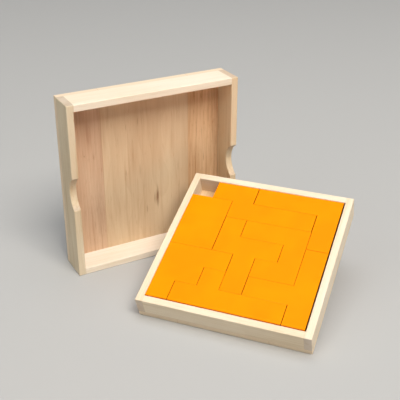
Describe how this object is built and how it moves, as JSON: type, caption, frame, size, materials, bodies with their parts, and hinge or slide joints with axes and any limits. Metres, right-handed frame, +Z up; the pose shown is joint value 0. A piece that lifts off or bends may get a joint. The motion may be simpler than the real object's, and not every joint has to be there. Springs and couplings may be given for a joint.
{
  "type": "wooden puzzle box",
  "caption": "Open wooden puzzle box: a deep lid with finger notches stands on its edge, and a shallow tray packed with flat interlocking orange pieces leans in front of it.",
  "frame": {"origin": "centre of the lid's standing edge, on the table", "axes": "+Z up; +X along the lid's width; +Y from the lid's open side towards its panel"},
  "size_m": [0.2111, 0.2142, 0.1528],
  "materials": {
    "bare_wood_frame": "bare, finely sanded",
    "bare_wood_panel": "bare, finely sanded",
    "orange_satin_paint": "satin paint"
  },
  "bodies": {
    "lid": {"lid_side_left": "bare_wood_frame", "lid_side_right": "bare_wood_frame", "lid_end_bottom": "bare_wood_frame", "lid_end_top": "bare_wood_frame", "lid_panel_left": "bare_wood_panel", "lid_panel_centre": "bare_wood_panel", "lid_panel_right": "bare_wood_panel"},
    "tray": {"tray_side_left": "bare_wood_frame", "tray_side_right": "bare_wood_frame", "tray_end_front": "bare_wood_frame", "tray_end_back": "bare_wood_frame", "tray_floor_left": "bare_wood_panel", "tray_floor_centre": "bare_wood_panel", "tray_floor_right": "bare_wood_panel"},
    "puzzle_piece_back_right": {"puzzle_piece_back_right": "orange_satin_paint"},
    "puzzle_piece_back_left": {"puzzle_piece_back_left": "orange_satin_paint"},
    "puzzle_piece_inner_right": {"puzzle_piece_inner_right": "orange_satin_paint"},
    "puzzle_piece_centre": {"puzzle_piece_centre": "orange_satin_paint"},
    "puzzle_piece_front_right": {"puzzle_piece_front_right": "orange_satin_paint"},
    "puzzle_piece_front_middle": {"puzzle_piece_front_middle": "orange_satin_paint"},
    "puzzle_piece_left_block": {"puzzle_piece_left_block": "orange_satin_paint"},
    "puzzle_piece_front_left": {"puzzle_piece_front_left": "orange_satin_paint"}
  },
  "joints": [
    {"name": "tray_draw", "type": "slide", "parent": "lid", "child": "tray", "axis": [0, -1, 0], "range_m": [0, 0.1]},
    {"name": "lift_back_right", "type": "slide", "parent": "tray", "child": "puzzle_piece_back_right", "axis": [-0.2799, -0.2391, 0.9298], "range_m": [0, 0.03]},
    {"name": "lift_back_left", "type": "slide", "parent": "tray", "child": "puzzle_piece_back_left", "axis": [-0.2799, -0.2391, 0.9298], "range_m": [0, 0.03]},
    {"name": "lift_inner_right", "type": "slide", "parent": "tray", "child": "puzzle_piece_inner_right", "axis": [-0.2799, -0.2391, 0.9298], "range_m": [0, 0.03]},
    {"name": "lift_centre", "type": "slide", "parent": "tray", "child": "puzzle_piece_centre", "axis": [-0.2799, -0.2391, 0.9298], "range_m": [0, 0.03]},
    {"name": "lift_front_right", "type": "slide", "parent": "tray", "child": "puzzle_piece_front_right", "axis": [-0.2799, -0.2391, 0.9298], "range_m": [0, 0.03]},
    {"name": "lift_front_middle", "type": "slide", "parent": "tray", "child": "puzzle_piece_front_middle", "axis": [-0.2799, -0.2391, 0.9298], "range_m": [0, 0.03]},
    {"name": "lift_left_block", "type": "slide", "parent": "tray", "child": "puzzle_piece_left_block", "axis": [-0.2799, -0.2391, 0.9298], "range_m": [0, 0.03]},
    {"name": "lift_front_left", "type": "slide", "parent": "tray", "child": "puzzle_piece_front_left", "axis": [-0.2799, -0.2391, 0.9298], "range_m": [0, 0.03]}
  ]
}
